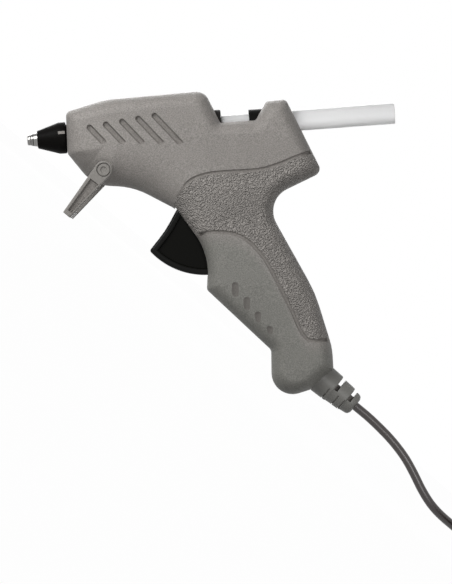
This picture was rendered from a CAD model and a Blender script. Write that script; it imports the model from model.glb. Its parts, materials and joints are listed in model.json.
"""Looks of a small trigger-fed glue gun that stands on its stand and its heel.

Pieces are shaped in the gun's own frame, in millimetres, where X runs back along the stick's axis from
the front of the housing and the near side is -Y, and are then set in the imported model's frame, in metres.
The stand, the cord and its plug are shaped in floor millimetres: the model's frame, a thousand times larger.
"""

from __future__ import annotations

import json
import logging
import math
from collections.abc import Callable, Sequence
from dataclasses import dataclass, field
from enum import Enum
from functools import cache
from typing import Any

import bmesh
import bpy
from bmesh.types import BMEdge, BMesh, BMVert
from bpy.types import Material, Node, NodeSocket, NodeTree, Object
from mathutils import Matrix, Vector

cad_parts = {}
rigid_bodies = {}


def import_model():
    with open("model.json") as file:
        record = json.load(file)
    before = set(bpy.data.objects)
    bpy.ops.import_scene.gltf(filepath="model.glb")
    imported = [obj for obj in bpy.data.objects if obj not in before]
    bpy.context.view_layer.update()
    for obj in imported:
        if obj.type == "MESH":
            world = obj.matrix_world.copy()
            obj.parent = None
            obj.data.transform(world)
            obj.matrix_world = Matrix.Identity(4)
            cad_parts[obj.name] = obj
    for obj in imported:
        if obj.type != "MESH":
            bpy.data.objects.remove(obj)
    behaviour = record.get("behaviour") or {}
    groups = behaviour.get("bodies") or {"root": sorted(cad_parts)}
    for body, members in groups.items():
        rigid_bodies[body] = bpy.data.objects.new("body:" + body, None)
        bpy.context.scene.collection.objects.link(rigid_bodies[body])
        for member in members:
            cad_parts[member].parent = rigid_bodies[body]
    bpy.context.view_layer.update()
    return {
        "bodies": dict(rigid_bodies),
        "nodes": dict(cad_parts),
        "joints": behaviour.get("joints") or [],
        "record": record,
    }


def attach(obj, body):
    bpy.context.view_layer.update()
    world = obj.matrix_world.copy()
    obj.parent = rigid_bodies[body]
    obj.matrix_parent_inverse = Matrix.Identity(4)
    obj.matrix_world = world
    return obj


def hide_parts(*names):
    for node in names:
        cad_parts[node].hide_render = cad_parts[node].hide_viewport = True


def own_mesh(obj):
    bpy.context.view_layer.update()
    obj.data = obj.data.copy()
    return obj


LOG = logging.getLogger("glue_gun")
MM = 0.001
FLOOR_MM = Matrix.Scale(MM, 4)
FULL_TURN = 2 * math.pi
WHITE = (1, 1, 1, 1)
Point2 = tuple[float, float]
Point3 = tuple[float, float, float]
Colour = tuple[float, float, float, float]


class Side(Enum):
    """The two halves of the gun, by the sign of Y."""

    NEAR = -1
    FAR = 1


class Body(str, Enum):
    """The moving bodies that pieces ride on."""

    HOUSING = "housing"
    TRIGGER = "trigger"
    STICK = "stick"
    STAND = "stand"


@dataclass(frozen=True)
class GunFrame:
    """Where the gun's own frame lies in the standing pose, and points that its pieces share."""

    stance: float = math.radians(43.626)
    pivot: Point2 = (13.5, -13.7)
    leg: float = 22.0
    trigger: Point2 = (50.4, -27.9)
    cord_hole: Point2 = (90.05, -98.55)

    def matrix(self) -> Matrix:
        """Finds where the gun stands.

        Returns:
            Matrix from gun millimetres to model metres.
        """
        lift = Matrix.Translation((0, 0, self.leg))
        turn = Matrix.Rotation(-self.stance, 4, "Y")
        shift = Matrix.Translation((-self.pivot[0], 0, -self.pivot[1]))
        return FLOOR_MM @ lift @ turn @ shift

    def butt(self) -> Matrix:
        """Matrix to the gun's frame from one at the cord's hole that is level with the floor."""
        x, z = self.cord_hole
        return Matrix.Translation((x, 0, z)) @ Matrix.Rotation(self.stance, 4, "Y")


GUN = GunFrame()


def srgb(red: int, green: int, blue: int) -> Colour:
    """Turns a colour as seen on a screen into the linear colour that shaders take.

    Args:
        red: red, 0 to 255.
        green: green, 0 to 255.
        blue: blue, 0 to 255.

    Returns:
        Linear red, green, blue and full alpha.
    """
    parts = [value / 255 for value in (red, green, blue)]
    linear = [p / 12.92 if p <= 0.04045 else ((p + 0.055) / 1.055) ** 2.4 for p in parts]
    return (*linear, 1.0)


def spline(points: Sequence[Vector], steps: int) -> list[Vector]:
    """Runs a smooth curve through points.

    Args:
        points: the points that the curve passes.
        steps: pieces between two points.

    Returns:
        Points along the curve, ends included.
    """
    last = len(points) - 1
    out: list[Vector] = []
    for i in range(last):
        a, b, c, d = points[max(i - 1, 0)], points[i], points[i + 1], points[min(i + 2, last)]
        for k in range(steps):
            t = k / steps
            even = 2 * b + (c - a) * t
            square = (2 * a - 5 * b + 4 * c - d) * t**2
            cube = (3 * b - a - 3 * c + d) * t**3
            out.append(0.5 * (even + square + cube))
    out.append(points[last].copy())
    return out


def flat_spline(points: Sequence[Point2], steps: int) -> list[Point2]:
    """Runs a smooth curve, as X and Z, through points of the side plane."""
    return [(v.x, v.z) for v in spline([Vector((x, 0, z)) for x, z in points], steps)]


def softened(corner: Vector, before: Vector, after: Vector, steps: int = 3) -> list[Vector]:
    """Rounds a corner between two points of an outline.

    Args:
        corner: the corner.
        before: where the rounding starts.
        after: where it ends.
        steps: points between the ends.

    Returns:
        Points of the rounding, ends included.
    """
    out = []
    for k in range(steps + 2):
        s = k / (steps + 1)
        out.append(before * (1 - s) ** 2 + corner * 2 * s * (1 - s) + after * s**2)
    return out


def grown(outline: Sequence[Point2], by: float) -> list[Point2]:
    """Moves a round, counter-clockwise outline out.

    Args:
        outline: the outline's points.
        by: how far, or in where negative.

    Returns:
        The moved points.
    """
    out = []
    for i, here in enumerate(outline):
        way = Vector(outline[(i + 1) % len(outline)]) - Vector(outline[i - 1])
        out.append(tuple(Vector(here) + Vector((way.y, -way.x)).normalized() * by))
    return out


def circle(centre: Vector, first: Vector, second: Vector, radius: float, steps: int) -> list[Vector]:
    """Sets points round a circle.

    Args:
        centre: its middle.
        first: direction of the first point.
        second: direction of the point a quarter turn on.
        radius: its radius.
        steps: how many points it has.

    Returns:
        The points.
    """
    turns = [FULL_TURN * k / steps for k in range(steps)]
    return [centre + (first * math.cos(a) + second * math.sin(a)) * radius for a in turns]


def capsule(start: Point2, end: Point2, radius: float, steps: int = 12) -> list[Point2]:
    """Outlines a slot with round ends in the side plane.

    Args:
        start: middle of one end.
        end: middle of the other.
        radius: radius of both ends.
        steps: facets of each end.

    Returns:
        X and Z of the outline, counter-clockwise.
    """
    lean = math.atan2(end[1] - start[1], end[0] - start[0])
    outline: list[Point2] = []
    for centre, turn in ((end, -math.pi / 2), (start, math.pi / 2)):
        for k in range(steps + 1):
            a = lean + turn + math.pi * k / steps
            outline.append((centre[0] + radius * math.cos(a), centre[1] + radius * math.sin(a)))
    return outline


class Shapes:
    """Small shapes, each in a bmesh of its own."""

    MERGE_WITHIN = 1e-4
    SAME_WITHIN = 1e-6

    @staticmethod
    def loft(rings: Sequence[Sequence[Vector]]) -> BMesh:
        """Extrudes closed rings, one from the next, and closes both ends.

        Args:
            rings: the rings, each with the same number of points.

        Returns:
            The closed shape.
        """
        bm = bmesh.new()
        ring = [bm.verts.new(p) for p in rings[0]]
        bm.faces.new(ring)
        for points in rings[1:]:
            loop = [bm.edges.get((a, b)) for a, b in zip(ring, ring[1:] + ring[:1])]
            made = bmesh.ops.extrude_edge_only(bm, edges=loop)["geom"]
            fresh = {v for v in made if isinstance(v, BMVert)}
            ring = [next(e.other_vert(v) for e in v.link_edges if e.other_vert(v) in fresh) for v in ring]
            for vert, point in zip(ring, points):
                vert.co = point
        bm.faces.new(ring)
        bmesh.ops.recalc_face_normals(bm, faces=bm.faces)
        return bm

    @classmethod
    def tube(cls, path: Sequence[Vector], radius: float, steps: int = 12) -> BMesh:
        """A round tube along a path that doesn't run straight across the gun.

        Args:
            path: points of its middle.
            radius: its radius.
            steps: its facets.

        Returns:
            The closed tube.
        """
        rings = []
        for i, here in enumerate(path):
            way = (path[min(i + 1, len(path) - 1)] - path[max(i - 1, 0)]).normalized()
            side = way.cross(Vector((0, 1, 0))).normalized()
            rings.append(circle(here, side, side.cross(way), radius, steps))
        return cls.loft(rings)

    @classmethod
    def sector(cls, span: Point2, radii: Point2, start: float, sweep: float, steps: int = 12) -> BMesh:
        """A block bent round the X axis.

        Args:
            span: where it starts and ends along X.
            radii: its inner and outer radius.
            start: angle in degrees where it starts, from +Z towards -Y.
            sweep: how many degrees it covers.
            steps: its facets.

        Returns:
            The closed shape.
        """
        (low, high), (inner, outer) = span, radii
        corners = ((low, inner), (high, inner), (high, outer), (low, outer))
        rings = []
        for k in range(steps + 1):
            a = math.radians(start + sweep * k / steps)
            rings.append([Vector((x, -r * math.sin(a), r * math.cos(a))) for x, r in corners])
        return cls.loft(rings)

    @classmethod
    def lathe(cls, profile: Sequence[Point2], steps: int = 72) -> BMesh:
        """Turns a profile round the X axis.

        Args:
            profile: distance along X and radius of each point, open or closed.
            steps: facets of a full turn.

        Returns:
            The turned shape.
        """
        bm = bmesh.new()
        verts = [bm.verts.new((x, 0, r)) for x, r in profile]
        edges = [bm.edges.new(pair) for pair in zip(verts, verts[1:])]
        bmesh.ops.spin(
            bm, geom=verts + edges, cent=(0, 0, 0), axis=(1, 0, 0), angle=FULL_TURN, steps=steps,
            use_merge=True,
        )
        bmesh.ops.remove_doubles(bm, verts=bm.verts, dist=cls.MERGE_WITHIN)
        bmesh.ops.recalc_face_normals(bm, faces=bm.faces)
        return bm

    @staticmethod
    def rounded(bm: BMesh, edges: Sequence[BMEdge], by: float, segments: int) -> None:
        """Rounds edges of a shape.

        Args:
            bm: the shape.
            edges: its edges.
            by: width of the rounding.
            segments: its facets.
        """
        bmesh.ops.bevel(
            bm, geom=edges, offset=by, offset_type="OFFSET", affect="EDGES", segments=segments, profile=0.5,
            material=-1,
        )

    @staticmethod
    def pushed(outline: Sequence[Point3], way: Point3) -> BMesh:
        """Pushes a flat outline out into a closed prism.

        Args:
            outline: points of the outline.
            way: how far and where it is pushed.

        Returns:
            The prism.
        """
        bm = bmesh.new()
        face = bm.faces.new([bm.verts.new(p) for p in outline])
        out = bmesh.ops.extrude_face_region(bm, geom=[face])
        moved = [v for v in out["geom"] if isinstance(v, BMVert)]
        bmesh.ops.translate(bm, vec=way, verts=moved)
        bmesh.ops.recalc_face_normals(bm, faces=bm.faces)
        return bm

    @classmethod
    def prism(
        cls, outline: Sequence[Point2], y0: float, y1: float, round_by: float = 0, segments: int = 2
    ) -> BMesh:
        """Pushes a flat outline of the side plane across the gun.

        Args:
            outline: X and Z of the outline's points.
            y0: where the prism starts across the gun.
            y1: where it ends.
            round_by: width of the bevel round both ends.
            segments: facets of that bevel.

        Returns:
            The closed prism.
        """
        bm = cls.pushed([(x, y0, z) for x, z in outline], (0, y1 - y0, 0))
        if round_by:
            rims = [e for e in bm.edges if abs(e.verts[0].co.y - e.verts[1].co.y) < cls.SAME_WITHIN]
            cls.rounded(bm, rims, round_by, segments)
        return bm

    @staticmethod
    def cylinder(length: float, radius: float, steps: int, place: Matrix) -> BMesh:
        """A round bar.

        Args:
            length: its length.
            radius: its radius.
            steps: its facets.
            place: matrix that sets it, from the Z axis with its middle at the origin.

        Returns:
            The closed bar.
        """
        bm = bmesh.new()
        bmesh.ops.create_cone(bm, cap_ends=True, segments=steps, radius1=radius, radius2=radius, depth=length)
        bmesh.ops.transform(bm, matrix=place, verts=bm.verts)
        return bm

    @classmethod
    def rod(cls, at: Point2, y0: float, y1: float, radius: float, steps: int = 48) -> BMesh:
        """A round bar across the gun, from y0 to y1, round the point at."""
        place = Matrix.Translation((at[0], (y0 + y1) / 2, at[1])) @ Matrix.Rotation(math.pi / 2, 4, "X")
        return cls.cylinder(abs(y1 - y0), radius, steps, place)

    @classmethod
    def bar(cls, x0: float, x1: float, radius: float, steps: int = 64) -> BMesh:
        """A round bar along the stick's axis, from x0 to x1."""
        place = Matrix.Translation(((x0 + x1) / 2, 0, 0)) @ Matrix.Rotation(math.pi / 2, 4, "Y")
        return cls.cylinder(x1 - x0, radius, steps, place)

    @classmethod
    def block(cls, low: Point3, high: Point3, round_by: float, segments: int = 3) -> BMesh:
        """A block with rounded edges.

        Args:
            low: its lowest corner.
            high: its highest corner.
            round_by: width of the rounding.
            segments: facets of the rounding.

        Returns:
            The closed block.
        """
        bm = bmesh.new()
        bmesh.ops.create_cube(bm, size=1)
        a, b = Vector(low), Vector(high)
        bmesh.ops.scale(bm, vec=b - a, verts=bm.verts)
        bmesh.ops.translate(bm, vec=(a + b) / 2, verts=bm.verts)
        cls.rounded(bm, list(bm.edges), round_by, segments)
        return bm

    @staticmethod
    def joined(parts: Sequence[BMesh]) -> BMesh:
        """Puts several shapes into one.

        Args:
            parts: the shapes, which are freed.

        Returns:
            The one shape.
        """
        whole = bmesh.new()
        for part in parts:
            mesh = bpy.data.meshes.new("part")
            part.to_mesh(mesh)
            part.free()
            whole.from_mesh(mesh)
            bpy.data.meshes.remove(mesh)
        return whole


@dataclass
class Graph:
    """A node tree with short calls to add and join nodes."""

    tree: NodeTree

    def put(self, node: Node, key: str | int, value: Any) -> None:
        """Sets one input of a node.

        Args:
            node: the node.
            key: the input's name or number.
            value: a plain value, or a socket to link.
        """
        if isinstance(value, NodeSocket):
            self.tree.links.new(value, node.inputs[key])
        else:
            node.inputs[key].default_value = value

    def add(self, kind: str, inputs: dict[Any, Any] | None = None, **settings: Any) -> Node:
        """Adds a node.

        Args:
            kind: the node's type name.
            inputs: values or sockets for its inputs, by name or number.
            settings: properties of the node itself.

        Returns:
            The new node.
        """
        node = self.tree.nodes.new(kind)
        for key, value in settings.items():
            setattr(node, key, value)
        for key, value in (inputs or {}).items():
            self.put(node, key, value)
        return node

    def math(self, operation: str, first: Any, second: Any, clamped: bool = False) -> NodeSocket:
        """Adds a Math node for two values and returns its output."""
        inputs = {0: first, 1: second}
        return self.add("ShaderNodeMath", inputs, operation=operation, use_clamp=clamped).outputs[0]

    def span(self, value: Any, low: float, high: float, to_low: float = 0, to_high: float = 1) -> NodeSocket:
        """Maps a value from one range to another, held at the ends, and returns the output."""
        inputs = {0: value, 1: low, 2: high, 3: to_low, 4: to_high}
        return self.add("ShaderNodeMapRange", inputs).outputs[0]

    def mixed(self, factor: Any, first: Any, second: Any) -> NodeSocket:
        """Mixes two colours and returns the output."""
        return self.add("ShaderNodeMix", {0: factor, 6: first, 7: second}, data_type="RGBA").outputs[2]

    def scaled(self, colour: Any, factor: NodeSocket) -> NodeSocket:
        """Makes a colour lighter or darker by a factor and returns the output."""
        return self.add("ShaderNodeVectorMath", {0: colour, 3: factor}, operation="SCALE").outputs[0]

    def gun_axes(self, where: NodeSocket) -> Sequence[NodeSocket]:
        """Turns coordinates along the gun's own axes and returns them one by one."""
        turned = self.add("ShaderNodeMapping", {"Vector": where, "Rotation": (0, GUN.stance, 0)})
        return self.add("ShaderNodeSeparateXYZ", {0: turned.outputs[0]}).outputs

    def bump(self, height: Any, strength: Any, depth: float, over: NodeSocket | None = None) -> NodeSocket:
        """Adds a bump.

        Args:
            height: the height that it follows.
            strength: how much of it shows.
            depth: what a height of one stands for, in metres.
            over: the normal that it lies on, or None for the piece's own.

        Returns:
            The new normal.
        """
        inputs = {"Strength": strength, "Distance": depth, "Height": height}
        if over is not None:
            inputs["Normal"] = over
        return self.add("ShaderNodeBump", inputs).outputs[0]


class Effects:
    """Shader groups that several finishes share, each made once."""

    @staticmethod
    def start(name: str, inputs: dict[str, float | None], outputs: Sequence[str]) -> tuple[Graph, Node, Node]:
        """Starts a group with named sockets.

        Args:
            name: the group's name.
            inputs: the inputs' names and defaults, None for a vector.
            outputs: the names of the values that it puts out.

        Returns:
            The group's graph, its input node and its output node.
        """
        tree = bpy.data.node_groups.new(name, "ShaderNodeTree")
        for label, default in inputs.items():
            if default is None:
                tree.interface.new_socket(label, in_out="INPUT", socket_type="NodeSocketVector")
            else:
                socket = tree.interface.new_socket(label, in_out="INPUT", socket_type="NodeSocketFloat")
                socket.default_value = default
        for label in outputs:
            tree.interface.new_socket(label, in_out="OUTPUT", socket_type="NodeSocketFloat")
        graph = Graph(tree)
        return graph, graph.add("NodeGroupInput"), graph.add("NodeGroupOutput")

    @staticmethod
    @cache
    def moulded_grain() -> NodeTree:
        """Fine spark-eroded grain.

        Returns:
            The group, with a height and a speckle mask.
        """
        sockets = {"Vector": None, "Grain per metre": 2500.0}
        graph, given, result = Effects.start("moulded_grain", sockets, ("Height", "Speckle"))
        vector, scale = given.outputs["Vector"], given.outputs["Grain per metre"]
        fine_inputs = {"Vector": vector, "Scale": scale, "Detail": 3.0, "Roughness": 0.6}
        fine = graph.add("ShaderNodeTexNoise", fine_inputs).outputs[0]
        wide_inputs = {"Vector": vector, "Scale": graph.math("MULTIPLY", scale, 0.35), "Detail": 2.0}
        wide = graph.add("ShaderNodeTexNoise", wide_inputs).outputs[0]
        graph.put(result, "Height", graph.math("ADD", fine, graph.math("MULTIPLY", wide, 0.5)))
        graph.put(result, "Speckle", graph.span(fine, 0.35, 0.65))
        return graph.tree

    @staticmethod
    @cache
    def pebbles() -> NodeTree:
        """Leather-like pebbles.

        Returns:
            The group, with a height that rises over each pebble and a mask of the gaps.
        """
        sockets = {"Vector": None, "Pebbles per metre": 800.0}
        graph, given, result = Effects.start("pebbles", sockets, ("Height", "Gap"))
        inputs = {"Vector": given.outputs["Vector"], "Scale": given.outputs["Pebbles per metre"]}
        bumps = graph.add("ShaderNodeTexNoise", {**inputs, "Detail": 0.0}).outputs[0]
        graph.put(result, "Height", graph.span(bumps, 0.3, 0.7))
        graph.put(result, "Gap", graph.span(bumps, 0.5, 0.32))
        return graph.tree

    @staticmethod
    @cache
    def handling() -> NodeTree:
        """Soft patches from handling.

        Returns:
            The group, with a mask of broad, uneven clouds.
        """
        sockets = {"Vector": None, "Patches per metre": 40.0}
        graph, given, result = Effects.start("handling", sockets, ("Mask",))
        inputs = {"Vector": given.outputs["Vector"], "Scale": given.outputs["Patches per metre"]}
        cloud = graph.add("ShaderNodeTexNoise", {**inputs, "Detail": 4.0, "Distortion": 0.4}).outputs[0]
        graph.put(result, "Mask", graph.span(cloud, 0.3, 0.7))
        return graph.tree

    @staticmethod
    @cache
    def turned_lines() -> NodeTree:
        """Fine lathe lines round the stick's axis.

        Returns:
            The group, with the lines' height.
        """
        sockets = {"Along": 0.0, "Lines per metre": 3000.0}
        graph, given, result = Effects.start("turned_lines", sockets, ("Height",))
        place = graph.math("MULTIPLY", given.outputs["Along"], given.outputs["Lines per metre"])
        inputs = {"W": place, "Scale": 1.0, "Detail": 3.0}
        noise = graph.add("ShaderNodeTexNoise", inputs, noise_dimensions="1D").outputs[0]
        graph.put(result, "Height", noise)
        return graph.tree


@dataclass(frozen=True)
class Finish:
    """A plain finish: colour with grain, handling patches and a roughness that follows them."""

    name: str
    colour: Colour
    roughness: float
    metallic: float = 0.0
    grain: float = 2500.0
    bump: float = 0.05
    bump_depth: float = 0.0001
    speckle: float = 0.06
    patch: float = 0.08
    coat: float = 0.0
    specular: float = 0.5
    rough_spread: float = 0.05

    def start(self) -> tuple[Material, Graph, Node, NodeSocket]:
        """Starts the material.

        Returns:
            The material, its graph, its shader and the piece's own coordinates.
        """
        material = bpy.data.materials.new(self.name)
        material.use_nodes = True
        graph = Graph(material.node_tree)
        shader = material.node_tree.nodes["Principled BSDF"]
        graph.put(shader, "Metallic", self.metallic)
        graph.put(shader, "Coat Weight", self.coat)
        graph.put(shader, "Specular IOR Level", self.specular)
        where = graph.add("ShaderNodeTexCoord").outputs["Object"]
        return material, graph, shader, where

    def tinted(self, factor: float) -> Colour:
        """The finish's colour, made lighter or darker by a factor."""
        return tuple(min(1.0, c * factor) for c in self.colour[:3]) + (1.0,)

    def surface(
        self, graph: Graph, shader: Node, where: NodeSocket, base: NodeSocket | None = None
    ) -> NodeSocket:
        """Lays grain and patches over a colour and joins them to the shader.

        Args:
            graph: the material's graph.
            shader: its shader.
            where: the piece's coordinates.
            base: colour to lay them over, or None for the finish's own.

        Returns:
            The grain's height.
        """
        grain_inputs = {"Vector": where, "Grain per metre": self.grain}
        grain = graph.add("ShaderNodeGroup", grain_inputs, node_tree=Effects.moulded_grain())
        patches = graph.add("ShaderNodeGroup", {"Vector": where}, node_tree=Effects.handling())
        mask = patches.outputs["Mask"]
        dark = graph.math("MULTIPLY", grain.outputs["Speckle"], self.speckle)
        cloudy = graph.math("MULTIPLY", mask, self.patch)
        shade = graph.math("SUBTRACT", 1.0 + (self.speckle + self.patch) / 2, graph.math("ADD", dark, cloudy))
        ground = self.colour[:3] if base is None else base
        graph.put(shader, "Base Color", graph.scaled(ground, shade))
        smooth, rough = self.roughness - self.rough_spread, self.roughness + self.rough_spread
        graph.put(shader, "Roughness", graph.span(mask, 0, 1, smooth, rough))
        return grain.outputs["Height"]

    def make(self) -> Material:
        """Builds the whole material.

        Returns:
            The material.
        """
        material, graph, shader, where = self.start()
        height = self.surface(graph, shader, where)
        graph.put(shader, "Normal", graph.bump(height, self.bump, self.bump_depth))
        return material


@dataclass(frozen=True)
class HousingFinish(Finish):
    """Grey moulded plastic, satin, with the pebbled zone between the grip's two lines."""

    pebble_scale: float = 1800.0
    pebble_depth: float = 0.0007
    pebble_tint: float = 1.22
    gap_share: float = 0.18
    gap_tint: float = 0.6
    lower_colour: Colour = srgb(124, 123, 118)
    lower_fade: float = 6.0
    zone_fade: float = 0.6
    along: Point2 = (36.0, 96.0)
    drop: float = 110.0
    top_ends: Point2 = (-34.0, -12.0)
    low_ends: Point2 = (-40.0, -84.5)

    def zone(self, graph: Graph, where: NodeSocket) -> tuple[NodeSocket, NodeSocket]:
        """Finds the pebbled zone and the lower grip.

        Args:
            graph: the material's graph.
            where: the piece's coordinates.

        Returns:
            Masks of the pebbled zone and of the lower grip.
        """
        lift = graph.add("ShaderNodeVectorMath", {0: where, 1: (0, 0, -GUN.leg * MM)}, operation="ADD")
        axes = graph.gun_axes(lift.outputs[0])
        along = graph.math("ADD", graph.math("MULTIPLY", axes[0], 1 / MM), GUN.pivot[0])
        up = graph.math("ADD", graph.math("MULTIPLY", axes[2], 1 / MM), GUN.pivot[1])
        share = graph.span(along, *self.along)
        top = self.line(graph, share, HousingShape.top_line, self.top_ends)
        low = self.line(graph, share, HousingShape.low_line, self.low_ends)
        under = graph.span(graph.math("SUBTRACT", top, up), 0.0, self.zone_fade)
        over = graph.span(graph.math("SUBTRACT", up, low), 0.0, self.zone_fade)
        lower = graph.span(graph.math("SUBTRACT", low, up), 0.0, self.lower_fade)
        return graph.math("MULTIPLY", under, over), lower

    def line(self, graph: Graph, share: Any, points: Sequence[Point2], ends: Point2) -> NodeSocket:
        """Height of one of the grip's lines as a function of the distance along the gun.

        Args:
            graph: the material's graph.
            share: distance along the gun, as a share of the stretch that the curve covers.
            points: X and Z of the line.
            ends: Z that the line keeps to before and after its points.

        Returns:
            The line's Z in millimetres.
        """
        node = graph.add("ShaderNodeFloatCurve", {1: share})
        curve = node.mapping.curves[0]
        first, last = self.along
        full = [(first, ends[0]), *flat_spline(points, 2), (last, ends[1])]
        knots = [((x - first) / (last - first), (z + self.drop) / self.drop) for x, z in full]
        curve.points[0].location = knots[0]
        curve.points[1].location = knots[-1]
        for knot in knots[1:-1]:
            curve.points.new(*knot)
        for point in curve.points:
            point.handle_type = "VECTOR"
        node.mapping.update()
        return graph.math("SUBTRACT", graph.math("MULTIPLY", node.outputs[0], self.drop), self.drop)

    def make(self) -> Material:
        """Builds the whole material.

        Returns:
            The material.
        """
        material, graph, shader, where = self.start()
        pebbled, lower = self.zone(graph, where)
        stone_inputs = {"Vector": where, "Pebbles per metre": self.pebble_scale}
        stones = graph.add("ShaderNodeGroup", stone_inputs, node_tree=Effects.pebbles())
        gap = graph.math("MULTIPLY", stones.outputs["Gap"], graph.math("MULTIPLY", pebbled, self.gap_share))
        upper = graph.mixed(pebbled, self.colour, self.tinted(self.pebble_tint))
        plain = graph.mixed(lower, upper, self.lower_colour)
        base = graph.mixed(gap, plain, self.tinted(self.gap_tint))
        small = graph.bump(self.surface(graph, shader, where, base), self.bump, self.bump_depth)
        large = graph.bump(stones.outputs["Height"], pebbled, self.pebble_depth, small)
        graph.put(shader, "Normal", large)
        return material


@dataclass(frozen=True)
class MetalFinish(Finish):
    """Bright metal with fine lathe lines across the stick's axis."""

    metallic: float = 1.0
    lines: float = 4000.0
    streak: float = 0.2

    def make(self) -> Material:
        """Builds the whole material.

        Returns:
            The material.
        """
        material, graph, shader, where = self.start()
        inputs = {"Along": graph.gun_axes(where)[0], "Lines per metre": self.lines}
        lines = graph.add("ShaderNodeGroup", inputs, node_tree=Effects.turned_lines()).outputs["Height"]
        streaks = graph.span(lines, 0.35, 0.6, 1 - self.streak, 1.0)
        self.surface(graph, shader, where, graph.scaled(self.colour[:3], streaks))
        graph.put(shader, "Normal", graph.bump(lines, self.bump, self.bump_depth))
        return material


@dataclass(frozen=True)
class ClearFinish(Finish):
    """Milky clear glue: rough transmission with faint clouds."""

    transmission: float = 0.36
    bending: float = 1.48

    def make(self) -> Material:
        """Builds the whole material.

        Returns:
            The material.
        """
        material = super().make()
        shader = material.node_tree.nodes["Principled BSDF"]
        shader.inputs["Transmission Weight"].default_value = self.transmission
        shader.inputs["IOR"].default_value = self.bending
        return material


class Look(Enum):
    """Every finish of the gun."""

    HOUSING = HousingFinish(
        "housing_grey", srgb(136, 132, 128), 0.55, grain=2300, bump=1.0, bump_depth=0.0002, speckle=0.5,
        patch=0.12, specular=0.3,
    )
    RECESS = Finish(
        "recess_grey", srgb(122, 118, 114), 0.6, grain=2100, bump=0.7, bump_depth=0.00018, speckle=0.36,
        specular=0.25,
    )
    FLUTE = Finish(
        "flute_grey", srgb(107, 104, 100), 0.62, bump=0.5, bump_depth=0.00016, speckle=0.25, specular=0.2
    )
    STAND = Finish(
        "stand_grey", srgb(130, 127, 123), 0.5, bump=0.3, bump_depth=0.0001, speckle=0.2, specular=0.15
    )
    BLACK = Finish(
        "black_plastic", srgb(9, 9, 7), 0.42, bump=0.2, bump_depth=0.00006, speckle=0.15, specular=0.05
    )
    RIM = Finish("rim_black", srgb(7, 7, 6), 0.28, bump=0.1, bump_depth=0.00005, speckle=0.1, specular=0.12)
    INSULATOR = Finish(
        "insulator_black", srgb(12, 11, 10), 0.42, bump=0.15, bump_depth=0.00005, speckle=0.15, specular=0.03
    )
    RUBBER = Finish("black_rubber", srgb(22, 20, 19), 0.6, bump=0.2, bump_depth=0.00006, specular=0.12)
    NOZZLE = MetalFinish(
        "nozzle_metal", srgb(150, 149, 147), 0.2, bump=0.3, bump_depth=0.00005, lines=1400.0, streak=0.75
    )
    GLUE = ClearFinish(
        "clear_glue", srgb(241, 241, 241), 0.38, bump=0.03, bump_depth=0.00005, speckle=0.01, patch=0.02,
        specular=0.2,
    )
    CORD = Finish(
        "cord_grey", srgb(40, 31, 29), 0.38, grain=1800, bump=0.004, bump_depth=0.00001, speckle=0.03,
        specular=0.75,
    )
    RELIEF = Finish("relief_grey", srgb(112, 111, 107), 0.5, bump=0.2, bump_depth=0.00008)
    STEEL = MetalFinish("plated_steel", srgb(190, 190, 192), 0.32, bump=0.2, bump_depth=0.00003)
    ALLOY = MetalFinish("cast_alloy", srgb(186, 186, 188), 0.45, bump=0.5, bump_depth=0.0001)
    BRASS = MetalFinish("contact_brass", srgb(205, 176, 116), 0.3, bump=0.2, bump_depth=0.00003)
    CERAMIC = Finish("heater_ceramic", srgb(70, 70, 74), 0.7, speckle=0.2)
    FILM = Finish("amber_film", srgb(176, 116, 44), 0.25, coat=0.3)
    LEAD_BROWN = Finish("lead_brown", srgb(92, 58, 38), 0.45)
    LEAD_BLUE = Finish("lead_blue", srgb(44, 74, 140), 0.45)

    @cache
    def material(self) -> Material:
        """The finish's material, built at its first use."""
        return self.value.make()


@dataclass(frozen=True)
class Dresser:
    """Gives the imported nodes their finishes, by the record's material slots."""

    slots: tuple[tuple[str, Look], ...] = (
        ("housing_grey", Look.STAND),
        ("black_plastic", Look.BLACK),
        ("black_insulator", Look.INSULATOR),
        ("black_rubber", Look.RUBBER),
        ("nozzle_metal", Look.NOZZLE),
        ("chamber_alloy", Look.ALLOY),
        ("steel", Look.STEEL),
        ("contact_brass", Look.BRASS),
        ("clear_glue", Look.GLUE),
        ("cord_grey", Look.CORD),
        ("relief_grey", Look.RELIEF),
        ("heater_ceramic", Look.CERAMIC),
        ("heater_film", Look.FILM),
        ("lead_brown", Look.LEAD_BROWN),
        ("lead_blue", Look.LEAD_BLUE),
    )

    def dress(self, frame: dict[str, Any]) -> None:
        """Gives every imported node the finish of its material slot.
        """
        looks = dict(self.slots)
        for entry in frame["record"]["subparts"]:
            mesh = frame["nodes"][entry["node"]].data
            material = looks[entry["material_slot"]].material()
            if not mesh.materials:
                mesh.materials.append(material)
            for index in range(len(mesh.materials)):
                mesh.materials[index] = material


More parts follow.
